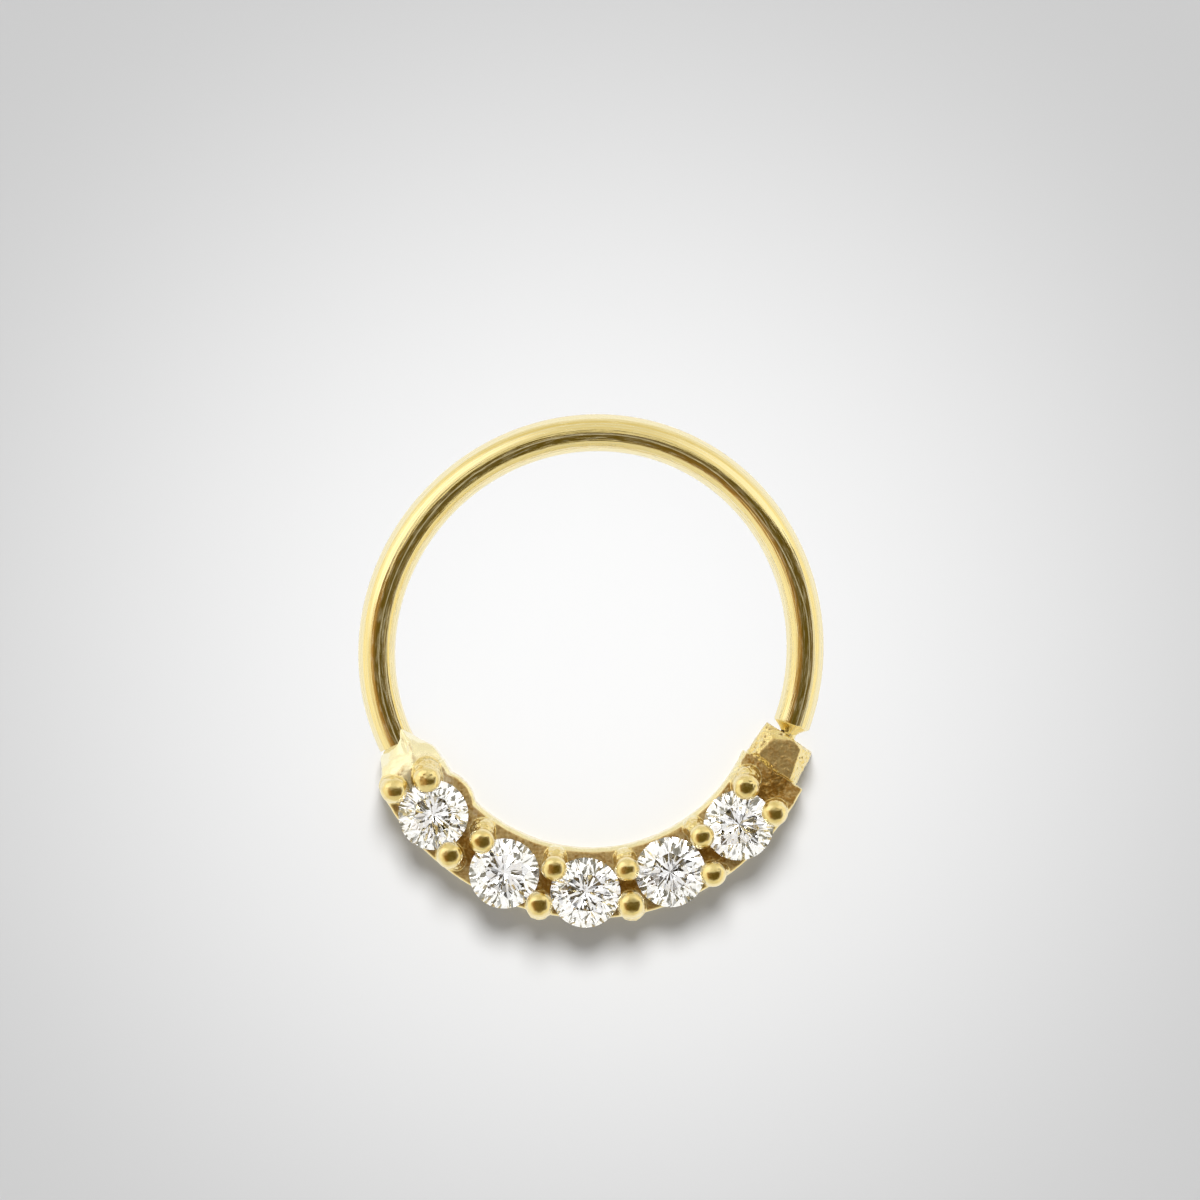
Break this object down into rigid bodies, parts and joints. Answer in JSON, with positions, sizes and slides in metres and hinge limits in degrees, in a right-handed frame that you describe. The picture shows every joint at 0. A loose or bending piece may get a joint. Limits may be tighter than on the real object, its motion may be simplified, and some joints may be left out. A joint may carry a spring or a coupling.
{
  "type": "tragus ring",
  "caption": "Small hoop of round gold wire for a tragus piercing, with a curved bar of claw-set round stones and a pin that slips into a clasp block.",
  "frame": {"origin": "middle of the ring's footprint, on the surface that its flat back lies on", "axes": "+Z the way the stones face, out of the hoop's plane; +Y towards the top of the hoop, away from the stone bar; +X towards the clasp"},
  "size_m": [0.01, 0.011, 0.0016],
  "materials": {
    "gold": "polished yellow gold",
    "stone": "clear faceted gemstone"
  },
  "bodies": {
    "root": {"ring_frame": "gold", "stone_1": "stone", "stone_2": "stone", "stone_3": "stone", "stone_4": "stone", "stone_5": "stone"}
  },
  "joints": []
}
